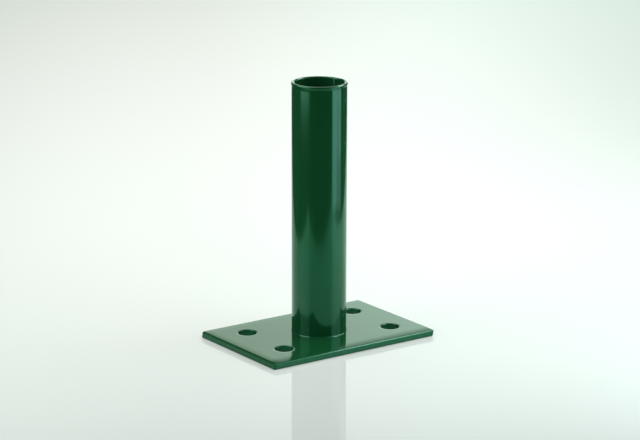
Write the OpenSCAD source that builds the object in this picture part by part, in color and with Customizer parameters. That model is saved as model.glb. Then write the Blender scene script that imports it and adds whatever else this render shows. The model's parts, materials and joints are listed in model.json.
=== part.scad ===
// Bolt-down post base: a round socket tube set through a sheared flat-bar plate and welded from beneath.
// Sizes are in millimetres. The origin is on the tube's axis at the plate's underside,
// +Z runs up the tube and +X along the plate's long side. The plate rests on Z = 0.

/* [Plate] */
// Length of the plate from one sheared end to the other
plate_l = 150; // [135:1:240]
// Width of the flat bar that the plate is sheared from
plate_w = 100; // [80:1:160]
// Thickness of the flat bar
plate_t = 5; // [4:0.5:10]
// Round that rolling leaves along the long edges of the bar
bar_edge_r = 0.7; // [0.3:0.1:1.5]
// How far each sheared end leans over the thickness of the plate
shear_lean = 0.8; // [0:0.1:1.5]
// Round on the side of a sheared end where the blade went in
shear_roll_r = 1.2; // [0.5:0.1:1.8]
// Round on the side of a sheared end where the metal broke away
shear_break_r = 0.3; // [0.1:0.1:0.5]
// How far the tube and the bolt holes sit past the plate's middle, towards +X
offset_l = 2; // [0:0.5:4]
// How far the tube and the bolt holes sit past the plate's middle, towards +Y
offset_w = 1.5; // [0:0.5:4]

/* [Bolt holes] */
// Diameter of each bolt hole, for an M12 bolt or anchor
bolt_hole_d = 14; // [9:0.5:18]
// Distance between bolt holes along the plate
bolt_pitch_l = 100; // [80:1:110]
// Distance between bolt holes across the plate
bolt_pitch_w = 50; // [20:1:56]
// Round on both rims of a punched hole
hole_rim_r = 0.5; // [0.2:0.1:1]

/* [Socket tube] */
// Outside diameter of the tube
tube_d = 42.4; // [33.7:0.1:60.3]
// Wall of the tube, which leaves a bore for a 38 mm post
tube_wall = 2; // [1.5:0.1:4]
// Length that the tube is cut to
tube_l = 200; // [60:5:400]
// Round on both edges of the tube's mouth
mouth_r = 0.4; // [0.1:0.1:0.7]
// Height of the long weld seam inside the tube
seam_h = 0.2; // [0.1:0.05:0.4]
// Width of the long weld seam inside the tube
seam_w = 1.6; // [0.8:0.1:3]
// Direction of the seam about the axis, from +X towards +Y
seam_angle = 22; // [0:1:359]

/* [Root weld] */
// Clearance all round between the tube and its hole in the plate
tube_clearance = 0.2; // [0.1:0.05:0.5]
// Depth and width of the bevel under the plate that takes the weld
bevel = 2.5; // [2:0.1:3.5]
// Height of the tube's lower end above the plate's underside
tube_recess = 1; // [0.6:0.1:1.8]
// How far the weld laps in under the tube's end
weld_lap = 1.2; // [0.4:0.1:1.4]
// Height of the weld's outer edge above the plate's underside
weld_inset = 0.4; // [0.2:0.1:0.6]
// How far the weld's face bulges below a straight line between its edges
weld_crown = 0.3; // [0:0.05:0.35]

/* [Hidden] */
$fn = 96;
coat_green = [0.05, 0.25, 0.16];
tube_r = tube_d / 2;
bore_r = tube_r - tube_wall;
tube_hole_r = tube_r + tube_clearance;
mouth_z = tube_recess + tube_l;
plate_x = -offset_l - plate_l / 2;
plate_y = -offset_w - plate_w / 2;
// Length by which a cutter runs past the face that it opens
run_out = 1;
// Straight stretches that stand for the curve of the weld's face
weld_steps = 8;

function unit(v) = v / norm(v);
// Sine of the angle at corner p between its neighbours a and b
function corner_sine(p, a, b) = abs(cross(unit(a - p), unit(b - p)));
// Distance from corner p to where a round of radius r leaves its edges
function corner_reach(p, a, b, r) = r * (1 + unit(a - p) * unit(b - p)) / corner_sine(p, a, b);
// Centre of a round of radius r in corner p
function corner_centre(p, a, b, r) = p + (unit(a - p) + unit(b - p)) * r / corner_sine(p, a, b);

// Polygon whose corner i is rounded to radii[i] by a true arc
module rounded_polygon(points, radii) {
    n = len(points);
    polygon([
        for (i = [0 : n - 1])
            let (p = points[i], a = points[(i + n - 1) % n], b = points[(i + 1) % n])
            let (reach = corner_reach(p, a, b, radii[i]))
            each [p + unit(a - p) * reach, p + unit(b - p) * reach]
    ]);
    for (i = [0 : n - 1])
        translate(corner_centre(points[i], points[(i + n - 1) % n], points[(i + 1) % n], radii[i]))
            circle(radii[i]);
}

// Side view of the plate in X and Z: both ends lean the same way, as a shear cuts them in line.
// The left end has its rolled-over edge on top and the right end has it underneath.
module sheared_profile() {
    rounded_polygon(
        [
            [plate_x, 0],
            [plate_x + plate_l - shear_lean, 0],
            [plate_x + plate_l, plate_t],
            [plate_x + shear_lean, plate_t]
        ],
        [shear_break_r, shear_roll_r, shear_break_r, shear_roll_r]
    );
}

// Rolled section of the flat bar in Y and Z
module bar_section() {
    rounded_polygon(
        [
            [plate_y, 0],
            [plate_y + plate_w, 0],
            [plate_y + plate_w, plate_t],
            [plate_y, plate_t]
        ],
        [bar_edge_r, bar_edge_r, bar_edge_r, bar_edge_r]
    );
}

// Cutter for a round hole of radius r whose rims are rounded on the faces at z = 0 and z = plate_t
module rimmed_hole(r, round_bottom) {
    bottom = round_bottom ? hole_rim_r : -run_out;
    rotate_extrude()
        difference() {
            translate([0, -run_out])
                square([r + hole_rim_r, plate_t + 2 * run_out]);
            translate([r, bottom])
                square([2 * hole_rim_r, plate_t - hole_rim_r - bottom]);
            translate([r + hole_rim_r, plate_t - hole_rim_r])
                circle(hole_rim_r);
            if (round_bottom)
                translate([r + hole_rim_r, hole_rim_r])
                    circle(hole_rim_r);
        }
}

// Cutter for the weld bevel around the tube's hole, on the underside
module weld_bevel() {
    rotate_extrude()
        polygon([
            [0, -run_out],
            [tube_hole_r + bevel + run_out, -run_out],
            [tube_hole_r, bevel],
            [0, bevel]
        ]);
}

module base_plate() {
    color(coat_green)
        difference() {
            intersection() {
                translate([0, plate_y + plate_w, 0])
                    rotate([90, 0, 0])
                        linear_extrude(plate_w)
                            sheared_profile();
                translate([plate_x, 0, 0])
                    rotate([90, 0, 90])
                        linear_extrude(plate_l)
                            bar_section();
            }
            for (x = [-1, 1], y = [-1, 1])
                translate([x * bolt_pitch_l / 2, y * bolt_pitch_w / 2, 0])
                    rimmed_hole(bolt_hole_d / 2, true);
            rimmed_hole(tube_hole_r, false);
            weld_bevel();
        }
}

// Half section of the tube's wall, square at the welded end and rounded at the mouth
module tube_section() {
    translate([bore_r, tube_recess])
        square([tube_wall, tube_l - mouth_r]);
    translate([bore_r + mouth_r, mouth_z - mouth_r])
        square([tube_wall - 2 * mouth_r, mouth_r]);
    for (r = [bore_r + mouth_r, tube_r - mouth_r])
        translate([r, mouth_z - mouth_r])
            circle(mouth_r);
}

// Low ridge that the tube mill's seam weld leaves down the inside of the bore,
// cut from a round bar that stands seam_h proud of the bore and meets it seam_w wide.
// Deburring the mouth has taken it off for a short way down.
module seam_ridge() {
    bar_r = (seam_h * seam_h + seam_w * seam_w / 4) / (2 * seam_h);
    rotate([0, 0, seam_angle])
        intersection() {
            translate([bore_r - tube_wall, -seam_w, tube_recess])
                cube([1.5 * tube_wall, 2 * seam_w, tube_l - 2 * mouth_r]);
            translate([bore_r - seam_h + bar_r, 0, tube_recess])
                cylinder(h = tube_l, r = bar_r);
        }
}

module socket_tube() {
    color(coat_green)
        union() {
            rotate_extrude()
                tube_section();
            seam_ridge();
        }
}

// Ring of weld that fills the bevel and laps under the tube's end, kept above the plate's underside
module root_weld() {
    inner = [tube_r - weld_lap, tube_recess];
    outer = [tube_hole_r + bevel - weld_inset, weld_inset];
    color(coat_green)
        rotate_extrude()
            polygon([
                [tube_r, tube_recess],
                [tube_r, bevel],
                [tube_hole_r, bevel],
                for (i = [0 : weld_steps])
                    let (t = i / weld_steps)
                    outer + (inner - outer) * t - [0, weld_crown * sin(180 * t)]
            ]);
}

base_plate();
socket_tube();
root_weld();
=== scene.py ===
"""Bolt-down post base: the coated surfaces of a socket tube welded through a sheared base plate.

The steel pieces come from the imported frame. This file lays their visible skin around them:
the plate with its rolled and sheared edges, the tube with its mill seam, the rippled weld
underneath and the fine fillet of coating at the tube's foot. All lengths are in metres.
"""

import json
import math
from typing import NamedTuple

import bpy
import numpy as np
from bpy.props import FloatProperty, FloatVectorProperty, IntProperty, PointerProperty
from bpy.types import Operator, Panel, PropertyGroup
from mathutils import Matrix, Vector


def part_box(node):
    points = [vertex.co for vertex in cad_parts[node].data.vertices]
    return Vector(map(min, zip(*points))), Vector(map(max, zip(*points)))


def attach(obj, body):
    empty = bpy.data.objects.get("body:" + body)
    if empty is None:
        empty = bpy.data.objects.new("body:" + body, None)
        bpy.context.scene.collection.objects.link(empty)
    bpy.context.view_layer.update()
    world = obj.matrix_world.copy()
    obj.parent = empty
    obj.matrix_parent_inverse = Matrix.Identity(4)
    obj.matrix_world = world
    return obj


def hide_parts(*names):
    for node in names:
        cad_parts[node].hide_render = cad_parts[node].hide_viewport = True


bl_info = {
    "name": "Bolt-down Post Base",
    "version": (1, 0, 0),
    "blender": (4, 5, 0),
    "location": "View3D > Sidebar > Post Base",
    "description": "Lays gloss powder coat over the steel of a bolt-down post base",
    "category": "Add Mesh",
}

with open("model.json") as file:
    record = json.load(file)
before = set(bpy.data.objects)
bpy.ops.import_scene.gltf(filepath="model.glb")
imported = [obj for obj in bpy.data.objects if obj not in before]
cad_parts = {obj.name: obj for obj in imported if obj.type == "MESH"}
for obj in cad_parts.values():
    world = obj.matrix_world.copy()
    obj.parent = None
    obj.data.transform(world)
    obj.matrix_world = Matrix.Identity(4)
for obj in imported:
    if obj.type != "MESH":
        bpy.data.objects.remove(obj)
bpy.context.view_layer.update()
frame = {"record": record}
MM = 0.001
BODY = "root"
MOUNTS = {mount["name"]: mount for mount in frame["record"]["mounts"]}
PLATE_LOW, PLATE_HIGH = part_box("base_plate")
TUBE_LOW, TUBE_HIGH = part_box("socket_tube")
THICK = PLATE_HIGH.z - PLATE_LOW.z
TUBE_R = TUBE_HIGH.x
BORE_R = MOUNTS["post_socket"]["dims"]["r_mm"] * MM
BOLTS = MOUNTS["bolt_holes"]["dims"]
HOLE_R = BOLTS["hole_r_mm"] * MM
PITCH_X = BOLTS["spacing_x_mm"] * MM
PITCH_Y = BOLTS["spacing_y_mm"] * MM
FULL_TURN = 2 * math.pi


def length(name, description, default, least=0.0):
    """Setting for a length in metres that is never below least."""
    return FloatProperty(
        name=name,
        description=description,
        default=default,
        min=least,
        subtype="DISTANCE",
    )


def angle(name, description, degrees):
    """Setting for an angle whose default is given in degrees."""
    return FloatProperty(
        name=name,
        description=description,
        default=math.radians(degrees),
        subtype="ANGLE",
    )


def number(name, description, default, least=0.0, most=1.0):
    """Setting for a plain number from least to most."""
    return FloatProperty(name=name, description=description, default=default, min=least, max=most)


def tint(name, description, default, most=1.0):
    """Setting for a colour whose parts lie between 0 and most."""
    return FloatVectorProperty(
        name=name,
        description=description,
        default=default,
        size=3,
        min=0.0,
        max=most,
        subtype="COLOR",
    )


def spot(name, description, default):
    """Setting for a place or a spread, as two or three lengths in metres."""
    return FloatVectorProperty(
        name=name,
        description=description,
        default=default,
        size=len(default),
        subtype="TRANSLATION",
    )


class PlateSettings(PropertyGroup):
    """Edges, rims and slopes of the base plate."""

    edge_round: length("Rolled Edge", "Round along the long edges of the flat bar", 0.7 * MM, 0.1 * MM)
    lean: length("Shear Lean", "How far each sheared end leans over the thickness", 0.8 * MM)
    shear_roll: length("Shear Roll", "Round where the shear blade went in", 1.2 * MM, 0.1 * MM)
    shear_break: length("Shear Break", "Round where the sheared metal broke away", 0.3 * MM, 0.1 * MM)
    rim_round: length("Hole Rims", "Round on the rims of the punched holes", 0.5 * MM, 0.1 * MM)
    tube_gap: length("Tube Gap", "Clearance between the tube and its hole", 0.2 * MM)
    bevel: length("Weld Bevel", "Depth and width of the bevel under the plate", 2.5 * MM, 0.5 * MM)
    front_drop: length(
        "Front Drop",
        "How far the top falls away at the long edge on the -Y side",
        0.38 * MM,
    )
    front_margin: length(
        "Front Margin",
        "Width over which the top falls away to the long edge on the -Y side",
        11.5 * MM,
        1.0 * MM,
    )
    back_drop: length(
        "Back Drop",
        "How far the top falls away at the long edge on the +Y side",
        0.14 * MM,
    )
    back_margin: length(
        "Back Margin",
        "Width over which the top falls away to the long edge on the +Y side",
        7.0 * MM,
        1.0 * MM,
    )
    left_drop: length(
        "Left Drop",
        "How far the top falls away at the end whose rolled-over edge is on top",
        0.22 * MM,
    )
    left_margin: length(
        "Left Margin",
        "Width over which the top falls away to the rolled-over end",
        8.0 * MM,
        1.0 * MM,
    )
    dish_drop: length(
        "Dish Drop",
        "How far the punch drew the top down at the rim of each bolt hole",
        0.18 * MM,
    )
    dish_margin: length(
        "Dish Margin",
        "Width over which the top falls away to the rim of a bolt hole",
        2.2 * MM,
        0.5 * MM,
    )
    corner_power: number(
        "Corner Squareness",
        "Exponent of the corners in plan: 1 is an ellipse, less is squarer",
        0.55,
        0.2,
    )


class TubeSettings(PropertyGroup):
    """Mouth, mill seam and foot of the socket tube."""

    mouth_crown: length("Mouth Crown", "Height over which the coat rounds off the mouth", 0.9 * MM, 0.1 * MM)
    mouth_rise: length("Mouth Rise", "How far the coat stands above the cut end of the tube", 0.25 * MM)
    seam_height: length("Seam Height", "Height of the mill seam above the bore", 0.32 * MM)
    seam_width: length("Seam Width", "Width of the mill seam", 2.0 * MM, 0.2 * MM)
    seam_ripple: length("Seam Ripple", "Height of the ripples along the mill seam", 0.157 * MM)
    seam_angle: angle("Seam Direction", "Direction of the seam about the axis, from +X towards +Y", 18.5)
    bead: length("Mouth Bead", "How far the coat swells out at the mouth", 0.45 * MM)
    bead_reach: length("Bead Reach", "How far down the mouth's swelling fades", 1.4 * MM, 0.2 * MM)
    foot_fillet: length(
        "Foot Fillet",
        "Radius of the coating that bridges tube and plate at the foot",
        1.15 * MM,
        0.1 * MM,
    )
    foot_sweep: angle(
        "Fillet Sweep",
        "Angle through which the fillet at the foot turns before it meets the plate",
        52.0,
    )


class WeldSettings(PropertyGroup):
    """Weld ring under the plate."""

    ripples: IntProperty(name="Ripples", description="Ripples around the weld ring", default=62, min=8)
    ripple_height: length("Ripple Height", "Height of one ripple of the weld", 0.12 * MM)
    recess: length("Tube Recess", "Height of the tube's lower end above the underside", TUBE_LOW.z)
    lap: length("Lap", "How far the weld laps in under the tube's end", 1.2 * MM, 0.1 * MM)
    inset: length("Inset", "Height of the weld's outer edge above the underside", 0.4 * MM)


class CoatSettings(PropertyGroup):
    """Gloss powder coat."""

    colour: tint("Colour", "Colour of the powder coat", (0.0045, 0.0470, 0.0150))
    gleam: tint("Gleam", "Tint of reflections that meet the coat head on", (0.28, 1.0, 0.66))
    roughness: number("Roughness", "Roughness of the cured coat", 0.10)
    peel_size: length("Peel Size", "Width of one swelling of the orange peel", 3.0 * MM, 0.2 * MM)
    peel_depth: length("Peel Depth", "Depth of the orange peel", 0.004 * MM)


class StageSettings(PropertyGroup):
    """Floor, surroundings and camera."""

    floor_colour: tint(
        "Floor Colour",
        "Colour of the pale sheet as light bounces from it, away from the plate's left end",
        (0.65, 0.80, 0.70),
    )
    # Painted pool of light: a brighter sheet colour beside the plate's left end, seen only in reflections
    # and bounced light, which brightens the left end face and the foot. Its middle and reach follow.
    floor_painted_light: tint(
        "Floor Near",
        "Colour of the pale sheet as light bounces from it, beside the plate's left end",
        (0.95, 1.0, 0.92),
    )
    painted_light_place: spot(
        "Near Place",
        "Middle of the near colour: how far to the picture's right of the tube, and how far behind it",
        (-0.11, -0.03),
    )
    painted_light_reach: length(
        "Near Reach",
        "Distance over which the sheet's colour changes from near to far",
        0.06,
        0.01,
    )
    floor_shown: tint(
        "Floor Shown",
        "Colour of the pale sheet as the camera sees it, under its glow",
        (0.297, 0.336, 0.316),
    )
    floor_roughness: number("Floor Roughness", "Roughness of the pale sheet", 0.04)
    floor_ior: number("Floor Gloss", "Refractive index of the pale sheet's surface", 1.25, 1.0, 2.0)
    sheet_half: length(
        "Sheet Half Width",
        "Reach of the lit sheet from its middle to either side, as reflections meet it",
        0.33,
        0.1,
    )
    sheet_shift: length(
        "Sheet Shift",
        "How far the middle of the lit sheet lies to the picture's right of the tube",
        0.03,
        -1.0,
    )
    sheet_front: length(
        "Sheet Front",
        "Reach of the lit sheet towards the camera, as reflections meet it",
        0.29,
        0.1,
    )
    gloom: tint("Gloom", "Colour that reflections meet past the lit sheet", (0.03, 0.03, 0.035))
    pool_place: spot(
        "Pool Place",
        "Middle of the pool of light: how far to the picture's right of the tube, and how far behind it",
        (-0.081, 0.828),
    )
    pool_size: spot("Pool Size", "Spread of the pool of light, sideways and in depth", (0.588, 1.190))
    glow_colour: tint(
        "Glow Colour",
        "Colour of the glow that the camera sees on the floor",
        (1.0, 0.975, 0.961),
    )
    glow_pool: number("Glow in the Pool", "Strength of the floor's glow in the middle of the pool", 0.469)
    backdrop_left: tint(
        "Backdrop Left",
        "Colour of the surroundings behind the part, to its left",
        (1.26, 1.40, 1.23),
        3.0,
    )
    backdrop_right: tint(
        "Backdrop Right",
        "Colour of the surroundings behind the part, to its right",
        (1.65, 1.98, 1.78),
        3.0,
    )
    backdrop_low: angle(
        "Backdrop Fades From",
        "Height above the horizon up to which the backdrop is fully bright",
        17.5,
    )
    backdrop_top: angle(
        "Backdrop Fades To",
        "Height above the horizon from which the surroundings are dim",
        28.0,
    )
    room_colour: tint(
        "Room",
        "Colour of the surroundings on the camera's side",
        (0.07, 0.105, 0.09),
        2.0,
    )
    horizon_colour: tint(
        "Horizon",
        "Colour of the surroundings as the camera sees them",
        (0.90, 0.95, 0.92),
    )
    backdrop_from: number(
        "Backdrop From",
        "Where the backdrop begins: 0 is at the part's sides and 1 is right behind it",
        0.86,
        -1.0,
    )
    backdrop_full: number(
        "Backdrop Full",
        "Where the backdrop is at its full brightness, on the same scale",
        0.97,
        -1.0,
    )
    camera_place: spot(
        "Camera Place",
        "Place of the lens, from the tube's foot",
        (-1.1048, -1.5520, 0.5961),
    )
    camera_yaw: angle(
        "Camera Heading",
        "Turn of the lens about the vertical, from +Y towards -X",
        -35.465,
    )
    camera_pitch: angle("Camera Tilt", "How far the lens looks down", 14.795)
    camera_roll: angle("Camera Roll", "Turn of the frame about the line of sight", 0.136)
    frame_width: IntProperty(
        name="Frame Width",
        description="Width of the frame in pixels, for the focal length",
        default=640,
        min=1,
        subtype="PIXEL",
    )
    focal_pixels: FloatProperty(
        name="Focal Length in Pixels",
        description="Focal length on a frame of that width",
        default=2568.0,
        min=100.0,
    )


def settings():
    """The property groups of the running scene."""
    return bpy.context.scene.post_base


def grid_faces(rows, columns, offset):
    """Quads of a grid of rows by columns vertices, counted row by row from offset. The last
    column joins the first one."""
    row, column = np.meshgrid(np.arange(rows - 1), np.arange(columns), indexing="ij")
    right = (column + 1) % columns
    near, far = row * columns, (row + 1) * columns
    quads = np.stack([near + column, near + right, far + right, far + column], axis=-1)
    return quads.reshape(-1, 4) + offset


def merged(grids, tolerance=1e-7):
    """Joins grids of points into one closed surface: points that fall together become one,
    and the faces that this closes up to a line are left out. Returns the points, the point at
    each corner of each face, and the first corner of each face."""
    points, faces, offset = [], [], 0
    for grid in grids:
        rows, columns = grid.shape[:2]
        points.append(grid.reshape(-1, 3))
        faces.append(grid_faces(rows, columns, offset))
        offset += rows * columns
    points, faces = np.concatenate(points), np.concatenate(faces)
    keys = np.round(points / tolerance).astype(np.int64)
    _, first, index = np.unique(keys, axis=0, return_index=True, return_inverse=True)
    faces = index.reshape(-1)[faces]
    distinct = faces != np.roll(faces, -1, axis=1)
    whole = distinct.sum(axis=1) > 2
    faces, distinct = faces[whole], distinct[whole]
    sides = distinct.sum(axis=1)
    return points[first], faces[distinct], np.cumsum(sides) - sides


def make_piece(name, grids, material, replaced=None, crease=40.0):
    """Turns grids of points into a smooth piece that rides on the part and takes its material.
    Edges that turn by more than the crease, in degrees, stay sharp."""
    points, corners, starts = merged(grids)
    mesh = bpy.data.meshes.new(name)
    mesh.vertices.add(len(points))
    mesh.vertices.foreach_set("co", points.ravel().astype(np.float32))
    mesh.loops.add(len(corners))
    mesh.loops.foreach_set("vertex_index", corners.astype(np.int32))
    mesh.polygons.add(len(starts))
    mesh.polygons.foreach_set("loop_start", starts.astype(np.int32))
    mesh.update(calc_edges=True)
    mesh.validate()
    mesh.shade_smooth()
    mesh.set_sharp_from_angle(angle=math.radians(crease))
    piece = bpy.data.objects.new(name, mesh)
    bpy.context.scene.collection.objects.link(piece)
    mesh.materials.append(material)
    weights = piece.modifiers.new("face weights", "WEIGHTED_NORMAL")
    weights.keep_sharp = True
    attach(piece, BODY)
    if replaced:
        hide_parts(replaced)


def quarter(steps):
    """Angles from 0 to a right angle."""
    return np.linspace(0.0, math.pi / 2, steps + 1)


def crowded(first, last, steps, crowding=1.4):
    """Values from first to last whose steps are finer near the first."""
    return first + (last - first) * np.linspace(0.0, 1.0, steps + 1) ** crowding


def revolved(radius, height, turns):
    """Points at each radius and height, carried round the tube's axis to each turn. The turns
    run along the last axis of the arrays."""
    x, y = radius * np.cos(turns), radius * np.sin(turns)
    return np.stack([x, y, np.broadcast_to(height, x.shape)], axis=-1)


def flank(height, thick, lean, round_top, round_low):
    """How far a flank stands out at each height: a line that leans inwards by lean from the
    underside to the top, with a tangent arc of radius round_top above and round_low below."""
    slope = lean / thick
    slant = math.sqrt(1.0 + slope * slope)
    line = -slope * height

    def arc(radius, middle):
        """How far the arc stands out at each height, and the height where it meets the line."""
        centre = -slope * middle - radius * slant
        inside = np.clip(radius**2 - (height - middle) ** 2, 0.0, None)
        return centre + np.sqrt(inside), middle + radius * slope / slant

    upper, upper_touch = arc(round_top, thick - round_top)
    lower, lower_touch = arc(round_low, round_low)
    out = np.where(height > upper_touch, upper, line)
    return np.where(height < lower_touch, lower, out)


def fallen_away(grid, plate):
    """Lowers the plate's top towards three of its edges and towards the bolt holes, by a
    parabola over each margin. The flanks shrink with it and the underside stays flat."""
    x, y = grid[..., 0], grid[..., 1]
    to_hole = np.hypot(np.abs(x) - PITCH_X / 2, np.abs(y) - PITCH_Y / 2) - HOLE_R
    margins = (
        (to_hole, plate.dish_drop, plate.dish_margin),
        (y - PLATE_LOW.y, plate.front_drop, plate.front_margin),
        (PLATE_HIGH.y - y, plate.back_drop, plate.back_margin),
        (x - PLATE_LOW.x, plate.left_drop, plate.left_margin),
    )
    drop = sum(depth * np.clip(1.0 - gap / width, 0.0, 1.0) ** 2 for gap, depth, width in margins)
    fallen = grid.copy()
    fallen[..., 2] *= 1.0 - drop / THICK
    return fallen


def outline_grid(plate, along, across, end_inset, side_inset, arc):
    """Grid round the plate's outline. Each column is the section of the edge, from the flat top
    over the flank to the flat underside, moved out from a point of the flat core, whose sides
    are the values along and across. At a corner the columns share one point and turn by a
    right angle, and their reach in plan is a squared-off ellipse between the two sections."""
    corner_steps = 8
    high = THICK - plate.shear_roll * (1.0 - np.cos(arc))
    height = np.concatenate([high, THICK - high[::-1]])
    levels = np.concatenate([[THICK], height, [0.0]])[:, None] + PLATE_LOW.z
    side = flank(height, THICK, 0.0, plate.edge_round, plate.edge_round)
    end = flank(height, THICK, plate.lean, plate.shear_roll, plate.shear_break)
    end -= end.max()
    back = np.pad(side + side_inset, 1)[:, None]
    left = -np.pad(end + end_inset, 1)[:, None]
    right = np.pad(end[::-1] + end_inset, 1)[:, None]
    front = -back
    turn = quarter(corner_steps)
    rise = np.sin(turn) ** plate.corner_power
    fall = np.cos(turn) ** plate.corner_power
    fall[-1] = 0.0

    def edge(x, y, outward_x, outward_y):
        """Columns of the grid: core points moved outwards by the section."""
        return np.stack(np.broadcast_arrays(x + outward_x, y + outward_y, levels), axis=-1)

    x0, x1, y0, y1 = along[0], along[-1], across[0], across[-1]
    return np.concatenate(
        [
            edge(along, y0, 0.0, front),
            edge(x1, y0, right * rise, front * fall),
            edge(x1, across, right, 0.0),
            edge(x1, y1, right * fall, back * rise),
            edge(along[::-1], y1, 0.0, back),
            edge(x0, y1, left * rise, back * fall),
            edge(x0, across[::-1], left, 0.0),
            edge(x0, y0, left * fall, front * rise),
        ],
        axis=1,
    )


def rim_section(radius, rim, arc):
    """Radius and height over the rounded upper rim of a hole, from the flat top to the wall."""
    return np.stack([radius + rim * (1.0 - np.sin(arc)), THICK - rim * (1.0 - np.cos(arc))])


def bolt_wall(plate, arc):
    """Radius and height down a bolt hole, from the flat top to the flat underside."""
    over = rim_section(HOLE_R, plate.rim_round, arc)
    under = np.stack([over[0][::-1], THICK - over[1][::-1]])
    return np.concatenate([over, under], axis=1)


def tube_wall(plate, arc):
    """Radius and height down the tube's hole: round rim, wall, then the weld bevel."""
    radius = TUBE_R + plate.tube_gap
    over = rim_section(radius, plate.rim_round, arc)
    bevel = np.array([[radius, radius + plate.bevel], [plate.bevel, 0.0]])
    return np.concatenate([over, bevel], axis=1)


def cell_grid(xs, ys, centre, wall):
    """Grid of the plate around one hole, whose columns are spaced round the hole. Its rows go
    from the cell's outline on top to the rim, with steps that follow half a cosine wave, then
    down the wall and back out to the outline underneath. Between two corners of the cell the
    columns turn by equal steps."""
    flat_rows = 24
    wide, deep = len(xs) - 1, len(ys) - 1
    square = np.concatenate(
        [
            np.stack([xs[:-1], np.full(wide, ys[0])], axis=-1),
            np.stack([np.full(deep, xs[-1]), ys[:-1]], axis=-1),
            np.stack([xs[:0:-1], np.full(wide, ys[-1])], axis=-1),
            np.stack([np.full(deep, xs[0]), ys[:0:-1]], axis=-1),
        ]
    )
    corners = np.cumsum([0, wide, deep, wide, deep])
    x, y = (square[corners[:-1]] - centre).T
    turns = np.arctan2(y, x)
    turns = np.unwrap(np.append(turns, turns[0] + FULL_TURN))
    turn = np.interp(np.arange(len(square)), corners, turns)
    ring = np.stack([np.cos(turn), np.sin(turn)], axis=-1)
    radius, level = wall
    circles = centre + radius[:, None, None] * ring
    share = (0.5 - 0.5 * np.cos(np.linspace(0.0, math.pi, flat_rows + 1)))[:-1, None, None]
    flat = square * (1.0 - share) + circles[0] * share
    plan = np.concatenate([flat, circles, square[None]])
    heights = np.concatenate([np.full(flat_rows, THICK), level, [0.0]]) + PLATE_LOW.z
    heights = np.broadcast_to(heights[:, None, None], plan.shape[:2] + (1,))
    return np.concatenate([plan, heights], axis=-1)


def plate_skin(plate):
    """Grids of the plate's skin: one round its outline, and one for the cell of plate around
    each hole. The cells fill the flat core, which stays a little inside the rounded edges."""
    steps, middle_steps, arc_steps = 28, 56, 8
    spare, cell_margin = 1.2, 6.5 * MM
    arc = quarter(arc_steps)
    end_inset = plate.lean + spare * plate.shear_roll
    side_inset = spare * plate.edge_round
    x0, x1 = PLATE_LOW.x + end_inset, PLATE_HIGH.x - end_inset
    y0, y1 = PLATE_LOW.y + side_inset, PLATE_HIGH.y - side_inset
    cell = TUBE_R + plate.tube_gap + cell_margin
    left, right = crowded(x0, -cell, steps), crowded(x1, cell, steps)[::-1]
    front, back = crowded(y0, 0.0, steps), crowded(y1, 0.0, steps)[::-1]
    middle = np.linspace(-cell, cell, middle_steps + 1)
    along = np.concatenate([left[:-1], middle[:-1], right])
    across = np.concatenate([front[:-1], back])
    outline = outline_grid(plate, along, across, end_inset, side_inset, arc)
    grids = [outline[::-1]]
    for xs, x in ((left, -PITCH_X / 2), (right, PITCH_X / 2)):
        for ys, y in ((front, -PITCH_Y / 2), (back, PITCH_Y / 2)):
            grids.append(cell_grid(xs, ys, np.array([x, y]), bolt_wall(plate, arc)))
    grids.append(cell_grid(middle, across, np.zeros(2), tube_wall(plate, arc)))
    return [fallen_away(grid, plate) for grid in grids]


def tube_skin(tube):
    """Grid of the tube: its closed wall section carried round the axis. The coat swells out
    towards the mouth by a bell curve, less so in the bore, and the rim is half an ellipse from
    the outer wall to the bore."""
    columns, wall_rows, mouth_rows, rim_rows = 224, 14, 16, 20
    bore_share, reaches_to_nil = 0.4, 4.0
    low, high = TUBE_LOW.z, TUBE_HIGH.z + tube.mouth_rise
    shoulder = high - tube.mouth_crown
    bead_low = shoulder - reaches_to_nil * tube.bead_reach
    wall = np.linspace(low, bead_low, wall_rows)[:-1]
    wall = np.append(wall, np.linspace(bead_low, shoulder, mouth_rows))
    swell = tube.bead * np.exp(-(((shoulder - wall) / tube.bead_reach) ** 2))
    outer = TUBE_R + swell
    inner = BORE_R - bore_share * swell
    turn = np.linspace(0.0, math.pi, rim_rows + 1)[1:-1]
    middle, half = (outer[-1] + inner[-1]) / 2, (outer[-1] - inner[-1]) / 2
    radius = np.concatenate([outer, middle + half * np.cos(turn), inner[::-1], outer[:1]])
    rim = shoulder + tube.mouth_crown * np.sin(turn)
    height = np.concatenate([wall, rim, wall[::-1], wall[:1]])
    turns = np.linspace(0.0, FULL_TURN, columns, endpoint=False)
    return [revolved(radius[:, None], height[:, None], turns)]


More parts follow.
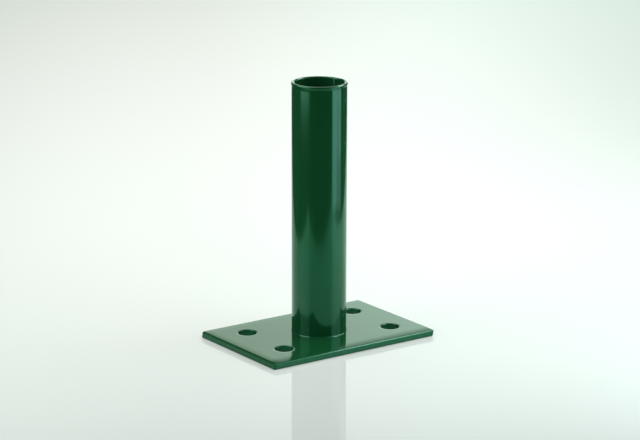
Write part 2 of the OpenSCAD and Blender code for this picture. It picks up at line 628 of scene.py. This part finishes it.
def seam_skin(tube):
    """Grid of the mill seam: a ridge up the bore that is flat across most of its width. Along
    it run ripples like those of a tooled weld. On the way up the bore each one falls slowly and
    rises fast: its height is minus the arctangent of k sin(p) over 1 + k cos(p), where p is the
    phase and k the skew. The phase wanders a little and lags towards the sides, which bends
    each ripple to a crescent.
    Two slower waves let the ridge's own height drift. The ridge is tucked into the wall on both
    sides and ends just below the mouth."""
    rows, columns, flatness = 1400, 15, 8
    foot_gap, mouth_gap, end_fade, tuck = 0.3 * MM, 1.0 * MM, 0.6 * MM, 0.15 * MM
    ripple_pitch, skew, lag = 1.6 * MM, 0.8, 0.6
    wander, wander_scale = 1.2, 4.3 * MM
    slow, slow_scale = 0.25, 5.3 * MM
    quick, quick_scale, quick_start = 0.12, 2.1 * MM, 1.0
    low, high = TUBE_LOW.z + foot_gap, TUBE_HIGH.z - mouth_gap
    z = np.linspace(low, high, rows)[:, None]
    side = np.linspace(-1.0, 1.0, columns)
    phase = FULL_TURN * z / ripple_pitch + wander * np.sin(z / wander_scale) - lag * side**2
    beat = -np.arctan2(skew * np.sin(phase), 1.0 + skew * np.cos(phase))
    drift = 1.0 + slow * np.sin(z / slow_scale) + quick * np.sin(z / quick_scale + quick_start)
    ends = np.clip(np.minimum(z - low, high - z) / end_fade, 0.0, 1.0)
    crest = (tube.seam_height * drift + tube.seam_ripple * beat) * ends
    radius = BORE_R + tuck - (crest + tuck) * (1.0 - side**flatness)
    radius = np.hstack([radius, np.full((rows, 1), BORE_R + 2 * tuck)])
    turns = tube.seam_angle + 0.5 * tube.seam_width * side / BORE_R
    ridge = revolved(radius, z, np.append(turns, tube.seam_angle))
    middle = ridge.mean(axis=1, keepdims=True)
    caps = [np.broadcast_to(middle[end], ridge[0].shape)[None] for end in (0, -1)]
    return [np.concatenate([caps[0], ridge, caps[1]])]


def weld_skin(plate, weld):
    """Grid of the weld ring: its section carried round the axis. The free face sags a little
    between its edges, and crescent ripples follow the way that the weld was laid. Their height
    is the square of (1 + cos(p)) / 2, where the phase p wavers round the ring and bends across
    the face."""
    columns, face_rows = 496, 14
    sag, bend, waver, wavers = 0.3 * MM, 2.6, 0.5, 5
    tube_hole = TUBE_R + plate.tube_gap
    outer = np.array([tube_hole + plate.bevel - weld.inset, weld.inset])
    inner = np.array([TUBE_R - weld.lap, weld.recess])
    share = np.linspace(0.0, 1.0, face_rows)[:, None]
    face = outer + (inner - outer) * share
    turns = np.linspace(0.0, FULL_TURN, columns, endpoint=False)
    belly = np.sin(math.pi * share)
    phase = weld.ripples * turns + bend * (2 * share - 1) ** 2 + waver * np.sin(wavers * turns)
    ripple = weld.ripple_height * (0.5 + 0.5 * np.cos(phase)) ** 2 * belly
    roof = np.array([[TUBE_R, weld.recess], [TUBE_R, plate.bevel], [tube_hole, plate.bevel], outer])
    radius = np.vstack([face, roof])[:, :1]
    level = np.broadcast_to(roof[:, 1:], (len(roof), columns))
    height = np.vstack([face[:, 1:] - sag * belly + ripple, level])
    return [revolved(radius, height, turns)]


def fillet_skin(tube):
    """Grid of the coating at the tube's foot: a hollow arc that leaves the tube's wall
    smoothly and meets the plate at an angle. Its reach wavers round the tube by three sine
    waves, and it is closed behind inside the gap."""
    columns, arc_steps, tuck = 288, 8, 0.05 * MM
    wavers = ((0.10, 3, 0.4), (0.07, 11, 0.0), (0.05, 29, 0.0))
    turns = np.linspace(0.0, FULL_TURN, columns, endpoint=False)
    waver = 1.0 + sum(size * np.sin(waves * turns + start) for size, waves, start in wavers)
    reach = tube.foot_fillet * waver
    arc = np.linspace(0.0, tube.foot_sweep, arc_steps + 1)[:, None]
    top = PLATE_HIGH.z
    radius = TUBE_R + reach * (1.0 - np.cos(arc))
    height = top - tuck + reach * (math.sin(tube.foot_sweep) - np.sin(arc))
    behind = np.full((1, columns), TUBE_R - tuck)
    below = np.full((1, columns), top - 2 * tuck)
    radius = np.vstack([behind, radius, behind, behind])
    height = np.vstack([height[:1], height, below, height[:1]])
    return [revolved(radius, height, turns)[::-1]]


def opaque(colour):
    """The colour with a full alpha."""
    return (*colour, 1.0)


def feed(tree, node, feeds):
    """Feeds a node's inputs: a socket is linked to its input, anything else is its value."""
    for key, given in feeds.items():
        if isinstance(given, bpy.types.NodeSocket):
            tree.links.new(given, node.inputs[key])
        else:
            node.inputs[key].default_value = given


def add_node(tree, kind, x, y, feeds=None, **values):
    """Adds a node at a place in the tree, sets its own values by name and feeds its inputs."""
    node = tree.nodes.new(kind)
    node.location = (x, y)
    for key, value in values.items():
        setattr(node, key, value)
    feed(tree, node, feeds or {})
    return node


def computed(tree, operation, x, y, *terms, **values):
    """Adds one step of arithmetic on its terms, which are sockets or numbers. Returns its output."""
    feeds = dict(enumerate(terms))
    node = add_node(tree, "ShaderNodeMath", x, y, feeds, operation=operation, **values)
    return node.outputs[0]


def mixed(tree, x, y, share, first, second, blend="MIX"):
    """Adds a blend from the first colour to the second by share. Returns its output."""
    feeds = {"Factor": share, 6: first, 7: second}
    node = add_node(tree, "ShaderNodeMix", x, y, feeds, data_type="RGBA", blend_type=blend)
    return node.outputs[2]


def risen(tree, x, y, value, low, high):
    """Adds a share that rises smoothly from 0 to 1 as value goes from low to high. Returns its
    output."""
    feeds = {"Value": value, "From Min": low, "From Max": high}
    node = add_node(tree, "ShaderNodeMapRange", x, y, feeds, interpolation_type="SMOOTHSTEP")
    return node.outputs["Result"]


def add_bell(tree, place, middle, spread, y):
    """Adds a bell curve over the level place, which is 1 at middle and falls off by spread along
    each axis. Returns its output."""
    feeds = {0: place, 1: (*middle, 0.0)}
    away = add_node(tree, "ShaderNodeVectorMath", -900, y, feeds, operation="SUBTRACT")
    feeds = {0: away.outputs["Vector"], 1: (*spread, 1.0)}
    scaled = add_node(tree, "ShaderNodeVectorMath", -750, y, feeds, operation="DIVIDE")
    feeds = {0: scaled.outputs["Vector"], 1: scaled.outputs["Vector"]}
    square = add_node(tree, "ShaderNodeVectorMath", -600, y, feeds, operation="DOT_PRODUCT")
    fall = computed(tree, "MULTIPLY", -450, y, square.outputs["Value"], -1.0)
    return computed(tree, "EXPONENT", -300, y, fall)


def orange_peel_group():
    """Node group: the faint swelling of cured powder coat and its drift of tone.
    Height is in metres, Tone is a factor near 1 for the colour."""
    tone_swing = 0.07
    tree = bpy.data.node_groups.new("orange peel", "ShaderNodeTree")
    face = tree.interface
    for label, default in (("Size", 3.0 * MM), ("Depth", 0.004 * MM)):
        face.new_socket(label, in_out="INPUT", socket_type="NodeSocketFloat").default_value = default
    for label in ("Height", "Tone"):
        face.new_socket(label, in_out="OUTPUT", socket_type="NodeSocketFloat")
    given = add_node(tree, "NodeGroupInput", -900, 0)
    place = add_node(tree, "ShaderNodeTexCoord", -900, -200)
    per_size = computed(tree, "DIVIDE", -700, 0, 1.0, given.outputs["Size"])
    feeds = {"Vector": place.outputs["Object"], "Scale": per_size, "Detail": 2.0, "Roughness": 0.45}
    swell = add_node(tree, "ShaderNodeTexNoise", -450, 100, feeds)
    height = computed(tree, "MULTIPLY", -200, 100, swell.outputs["Fac"], given.outputs["Depth"])
    feeds = {"Vector": place.outputs["Object"], "Scale": 22.0, "Detail": 3.0}
    drift = add_node(tree, "ShaderNodeTexNoise", -450, -200, feeds)
    feeds = {"Value": drift.outputs["Fac"], "To Min": 1.0 - tone_swing, "To Max": 1.0 + tone_swing}
    tone = add_node(tree, "ShaderNodeMapRange", -200, -200, feeds)
    add_node(tree, "NodeGroupOutput", 50, 0, {"Height": height, "Tone": tone.outputs["Result"]})
    return tree


def coat_material(name, peel, coat):
    """Gloss powder coat: one colour that drifts a little, under a faint orange peel."""
    material = bpy.data.materials.new(name)
    material.use_nodes = True
    tree = material.node_tree
    feeds = {"Size": coat.peel_size, "Depth": coat.peel_depth}
    texture = add_node(tree, "ShaderNodeGroup", -600, 0, feeds, node_tree=peel)
    feeds = {"Height": texture.outputs["Height"], "Strength": 1.0, "Distance": 1.0}
    bump = add_node(tree, "ShaderNodeBump", -300, -150, feeds)
    tone = texture.outputs["Tone"]
    feeds = {
        "Base Color": mixed(tree, -300, 150, 1.0, opaque(coat.colour), tone, "MULTIPLY"),
        "Normal": bump.outputs["Normal"],
        "Metallic": 0.0,
        "Roughness": coat.roughness,
        "IOR": 1.5,
        "Specular Tint": opaque(coat.gleam),
    }
    feed(tree, tree.nodes["Principled BSDF"], feeds)
    return material


def shared_coat():
    """The coat's material, built once and shared by every piece."""
    found = bpy.data.materials.get("green powder coat")
    if found:
        return found
    return coat_material("green powder coat", orange_peel_group(), settings().coat)


class POSTBASE_OT_plate(Operator):
    """Lay the coated skin over the base plate"""

    bl_idname = "post_base.plate"
    bl_label = "Coated Plate"

    def execute(self, context):
        make_piece("coated_plate", plate_skin(settings().plate), shared_coat(), "base_plate")
        return {"FINISHED"}


class POSTBASE_OT_tube(Operator):
    """Lay the coated skin over the socket tube"""

    bl_idname = "post_base.tube"
    bl_label = "Coated Tube"

    def execute(self, context):
        make_piece("coated_tube", tube_skin(settings().tube), shared_coat(), "socket_tube")
        return {"FINISHED"}


class POSTBASE_OT_seam(Operator):
    """Add the rippled mill seam inside the tube"""

    bl_idname = "post_base.seam"
    bl_label = "Mill Seam"

    def execute(self, context):
        make_piece("mill_seam", seam_skin(settings().tube), shared_coat())
        return {"FINISHED"}


class POSTBASE_OT_weld(Operator):
    """Lay the coated, rippled skin over the weld under the plate"""

    bl_idname = "post_base.weld"
    bl_label = "Coated Weld"

    def execute(self, context):
        group = settings()
        make_piece("coated_weld", weld_skin(group.plate, group.weld), shared_coat(), "root_weld")
        return {"FINISHED"}


class POSTBASE_OT_fillet(Operator):
    """Add the fine fillet of coating where the tube meets the plate"""

    bl_idname = "post_base.fillet"
    bl_label = "Foot Fillet"

    def execute(self, context):
        make_piece("foot_fillet", fillet_skin(settings().tube), shared_coat())
        return {"FINISHED"}


def away_from_camera(stage):
    """Level unit vector from the camera's side of the part to the backdrop."""
    return Vector((-math.sin(stage.camera_yaw), math.cos(stage.camera_yaw), 0.0))


def to_the_right(stage):
    """Level unit vector towards the picture's right."""
    return Vector((math.cos(stage.camera_yaw), math.sin(stage.camera_yaw), 0.0))


def floor_material(stage):
    """Pale acrylic sheet. The camera sees it in one pale colour, with a glow on top that fades
    away from the pool of light behind the part. Light that bounces meets other colours: a painted
    pool of light beside the plate's left end, the sheet's own colour further off, and a dim
    gloom past the lit sheet."""
    side_fade, front_fade = 0.02, 0.03
    material = bpy.data.materials.new("pale acrylic")
    material.use_nodes = True
    tree = material.node_tree
    rays = add_node(tree, "ShaderNodeLightPath", -450, -800)
    seen = rays.outputs["Is Camera Ray"]
    place = add_node(tree, "ShaderNodeTexCoord", -1300, -300)
    feeds = {"Vector": place.outputs["Object"], "Rotation": (0.0, 0.0, -stage.camera_yaw)}
    turned = add_node(tree, "ShaderNodeMapping", -1100, -300, feeds)
    level = turned.outputs["Vector"]

    # Painted pool of light: a bell that brightens the sheet beside the plate's left end, for reflections and
    # bounced light only.
    near = add_bell(tree, level, stage.painted_light_place, (stage.painted_light_reach, stage.painted_light_reach), 600)
    bounced_with_painted_light = mixed(tree, -150, 600, near, opaque(stage.floor_colour), opaque(stage.floor_painted_light))
    pool = add_bell(tree, level, stage.pool_place, stage.pool_size, -500)
    glow = computed(tree, "MULTIPLY", -150, -500, pool, stage.glow_pool)
    shader = tree.nodes["Principled BSDF"]
    feeds = {
        "Base Color": mixed(tree, 0, 300, seen, bounced_with_painted_light, opaque(stage.floor_shown)),
        "Roughness": stage.floor_roughness,
        "IOR": stage.floor_ior,
        "Emission Color": opaque(stage.glow_colour),
        "Emission Strength": computed(tree, "MULTIPLY", 0, -600, glow, seen),
    }
    feed(tree, shader, feeds)

    apart = add_node(tree, "ShaderNodeSeparateXYZ", -900, -100, {0: level})
    shifted = computed(tree, "SUBTRACT", -750, 150, apart.outputs["X"], stage.sheet_shift)
    sideways = computed(tree, "ABSOLUTE", -750, 0, shifted)
    past_side = risen(tree, -600, 0, sideways, stage.sheet_half, stage.sheet_half + side_fade)
    front = -stage.sheet_front
    past_front = risen(tree, -600, -200, apart.outputs["Y"], front, front - front_fade)
    off_sheet = computed(tree, "MAXIMUM", -400, 0, past_side, past_front)
    hidden = computed(tree, "SUBTRACT", -200, 0, off_sheet, seen, use_clamp=True)
    gloom = add_node(tree, "ShaderNodeEmission", 0, 200, {"Color": opaque(stage.gloom)})
    feeds = {"Fac": hidden, 1: shader.outputs[0], 2: gloom.outputs[0]}
    choose = add_node(tree, "ShaderNodeMixShader", 400, 100, feeds)
    feed(tree, tree.nodes["Material Output"], {"Surface": choose.outputs[0]})
    return material


def add_floor(stage):
    """Wide pale sheet that the part stands on."""
    half = 8.0
    corners = [(-half, -half, 0.0), (half, -half, 0.0), (half, half, 0.0), (-half, half, 0.0)]
    mesh = bpy.data.meshes.new("floor")
    mesh.from_pydata(corners, [], [(0, 1, 2, 3)])
    floor = bpy.data.objects.new("floor", mesh)
    bpy.context.scene.collection.objects.link(floor)
    mesh.materials.append(floor_material(stage))


class Softbox(NamedTuple):
    """Upright flat lamp that faces the tube's axis, cut into level bands of equal height. Its
    bearings are in degrees, and its radiances go from the lowest band to the highest."""

    name: str
    colour: tuple
    bearings: tuple
    heights: tuple
    distance: float
    radiances: tuple


class LampPanel(NamedTuple):
    """Flat lamp that faces the tube's foot. Its bearing and its height above the horizon are in
    degrees."""

    name: str
    bearing: float
    height: float
    distance: float
    size: tuple
    radiance: float


WHITE = (1.0, 1.0, 1.0)
COOL = (0.96, 1.0, 1.16)
SOFTBOXES = (
    Softbox("right softbox", COOL, (54.0, 76.0), (0.005, 0.205), 0.40, (3.0, 3.4, 3.7, 3.5)),
    Softbox("far right softbox", COOL, (76.0, 98.0), (0.005, 0.205), 0.40, (1.5, 2.3, 2.8, 3.8)),
    Softbox("left softbox foot", WHITE, (-83.0, -41.0), (0.015, 0.065), 0.60, (0.10, 0.25, 0.50, 1.0)),
    Softbox("left softbox", WHITE, (-83.0, -41.0), (0.065, 0.265), 0.60, (2.3, 2.2, 2.0, 2.0)),
    Softbox("left softbox head", WHITE, (-83.0, -41.0), (0.265, 0.425), 0.60, (2.2, 3.6)),
)
LAMP_PANELS = (
    LampPanel("right panel", 84.0, 43.0, 0.75, (0.84, 0.15), 6.6),
    LampPanel("back panel", 118.0, 28.0, 0.75, (0.42, 0.15), 4.6),
    LampPanel("left panel", -68.0, 38.0, 0.80, (0.60, 0.17), 8.5),
    LampPanel("edge panel", 123.0, 53.0, 0.75, (0.62, 0.12), 11.0),
    LampPanel("left overhead softbox", -125.0, 62.0, 1.0, (0.7, 0.5), 3.6),
    LampPanel("overhead softbox", 180.0, 77.6, 1.024, (1.2, 1.0), 0.4),
)


def outward(stage, bearing):
    """Level unit vector away from the part at a bearing in degrees, which is counted from the
    camera's side and positive to the picture's right."""
    turn = math.radians(bearing)
    return math.cos(turn) * -away_from_camera(stage) + math.sin(turn) * to_the_right(stage)


def add_lamp(name, colour, size, radiance, place, aim):
    """Rectangular lamp of a given brightness at a place, facing the point aim. Its power is its
    radiance times its area times pi."""
    lamp = bpy.data.lights.new(name, "AREA")
    lamp.shape = "RECTANGLE"
    lamp.size, lamp.size_y = size
    lamp.energy = radiance * math.pi * size[0] * size[1]
    lamp.color = colour
    holder = bpy.data.objects.new(name, lamp)
    bpy.context.scene.collection.objects.link(holder)
    holder.location = place
    holder.rotation_euler = (aim - place).to_track_quat("-Z", "Y").to_euler()
    holder.visible_camera = False


def add_softbox(stage, box):
    """Adds the bands of one softbox, from its foot to its top."""
    first, last = box.bearings
    width = 2 * box.distance * math.tan(math.radians(last - first) / 2)
    edges = np.linspace(*box.heights, len(box.radiances) + 1).tolist()
    for band, radiance in enumerate(box.radiances):
        low, high = edges[band : band + 2]
        middle = Vector((0.0, 0.0, (low + high) / 2))
        place = middle + box.distance * outward(stage, (first + last) / 2)
        add_lamp(f"{box.name} {band}", box.colour, (width, high - low), radiance, place, middle)


def add_panel(stage, panel):
    """Adds one flat lamp at its bearing and its height above the horizon."""
    height = math.radians(panel.height)
    level = math.cos(height) * outward(stage, panel.bearing)
    place = panel.distance * (level + Vector((0.0, 0.0, math.sin(height))))
    add_lamp(panel.name, WHITE, panel.size, panel.radiance, place, Vector())


def add_surroundings(stage):
    """World that is dim on the camera's side and overhead, bright low down behind the part,
    more so to the right, and pale to the camera."""
    split = 0.06
    world = bpy.data.worlds.new("studio")
    bpy.context.scene.world = world
    world.use_nodes = True
    tree = world.node_tree
    heading = add_node(tree, "ShaderNodeTexCoord", -1100, 0)

    def facing(vector, low, high, y):
        """Share that rises from 0 to 1 as the heading's part along vector goes from low to high."""
        feeds = {0: heading.outputs["Generated"], 1: vector}
        along = add_node(tree, "ShaderNodeVectorMath", -900, y, feeds, operation="DOT_PRODUCT")
        return risen(tree, -700, y, along.outputs["Value"], low, high)

    behind = facing(away_from_camera(stage), stage.backdrop_from, stage.backdrop_full, 200)
    low, top = math.sin(stage.backdrop_low), math.sin(stage.backdrop_top)
    above = facing(Vector((0.0, 0.0, 1.0)), low, top, 0)
    rightward = facing(to_the_right(stage), -split, split, -200)
    below = computed(tree, "SUBTRACT", -500, 0, 1.0, above)
    share = computed(tree, "MULTIPLY", -300, 100, behind, below)
    left, right = opaque(stage.backdrop_left), opaque(stage.backdrop_right)
    backdrop = mixed(tree, -500, -200, rightward, left, right)
    room = mixed(tree, -100, 0, share, opaque(stage.room_colour), backdrop)
    rays = add_node(tree, "ShaderNodeLightPath", -100, -300)
    shown = mixed(tree, 100, 0, rays.outputs["Is Camera Ray"], room, opaque(stage.horizon_colour))
    feed(tree, tree.nodes["Background"], {"Color": shown})


def add_camera(stage):
    """Camera at the photograph's place and angle."""
    lens = bpy.data.cameras.new("camera")
    lens.sensor_width = 36.0
    lens.lens = stage.focal_pixels * lens.sensor_width / stage.frame_width
    lens.clip_end = 50.0
    camera = bpy.data.objects.new("camera", lens)
    bpy.context.scene.collection.objects.link(camera)
    turn = Matrix.Rotation(stage.camera_yaw, 4, "Z")
    tilt = Matrix.Rotation(math.pi / 2 - stage.camera_pitch, 4, "X")
    roll = Matrix.Rotation(stage.camera_roll, 4, "Z")
    camera.matrix_world = Matrix.Translation(stage.camera_place) @ turn @ tilt @ roll
    bpy.context.scene.camera = camera


class POSTBASE_OT_stage(Operator):
    """Add the pale floor, the softboxes, the surroundings and the camera"""

    bl_idname = "post_base.stage"
    bl_label = "Stage"

    def execute(self, context):
        stage = settings().stage
        add_floor(stage)
        for box in SOFTBOXES:
            add_softbox(stage, box)
        for panel in LAMP_PANELS:
            add_panel(stage, panel)
        add_surroundings(stage)
        add_camera(stage)
        context.scene.view_settings.view_transform = "Standard"
        return {"FINISHED"}


class PostBaseSettings(PropertyGroup):
    """All settings of the post base."""

    plate: PointerProperty(type=PlateSettings)
    tube: PointerProperty(type=TubeSettings)
    weld: PointerProperty(type=WeldSettings)
    coat: PointerProperty(type=CoatSettings)
    stage: PointerProperty(type=StageSettings)


BUILD_STEPS = (
    POSTBASE_OT_plate,
    POSTBASE_OT_tube,
    POSTBASE_OT_seam,
    POSTBASE_OT_weld,
    POSTBASE_OT_fillet,
    POSTBASE_OT_stage,
)


class POSTBASE_PT_panel(Panel):
    """Lists the post base's pieces and its stage"""

    bl_idname = "POSTBASE_PT_panel"
    bl_label = "Post Base"
    bl_space_type = "VIEW_3D"
    bl_region_type = "UI"
    bl_category = "Post Base"

    def draw(self, context):
        for step in BUILD_STEPS:
            self.layout.operator(step.bl_idname)
        for name in PostBaseSettings.__annotations__:
            box = self.layout.box()
            box.label(text=name.title())
            group = getattr(context.scene.post_base, name)
            for key in group.__annotations__:
                box.prop(group, key)


CLASSES = (
    PlateSettings,
    TubeSettings,
    WeldSettings,
    CoatSettings,
    StageSettings,
    PostBaseSettings,
    *BUILD_STEPS,
    POSTBASE_PT_panel,
)


def register():
    """Registers every class and hangs the settings on the scene."""
    for cls in CLASSES:
        bpy.utils.register_class(cls)
    bpy.types.Scene.post_base = PointerProperty(type=PostBaseSettings)


def unregister():
    """Takes the settings off the scene and unregisters every class."""
    del bpy.types.Scene.post_base
    for cls in reversed(CLASSES):
        bpy.utils.unregister_class(cls)


def main():
    register()
    bpy.ops.post_base.plate()
    bpy.ops.post_base.tube()
    bpy.ops.post_base.seam()
    bpy.ops.post_base.weld()
    bpy.ops.post_base.fillet()
    bpy.ops.post_base.stage()


if __name__ == "__main__":
    main()
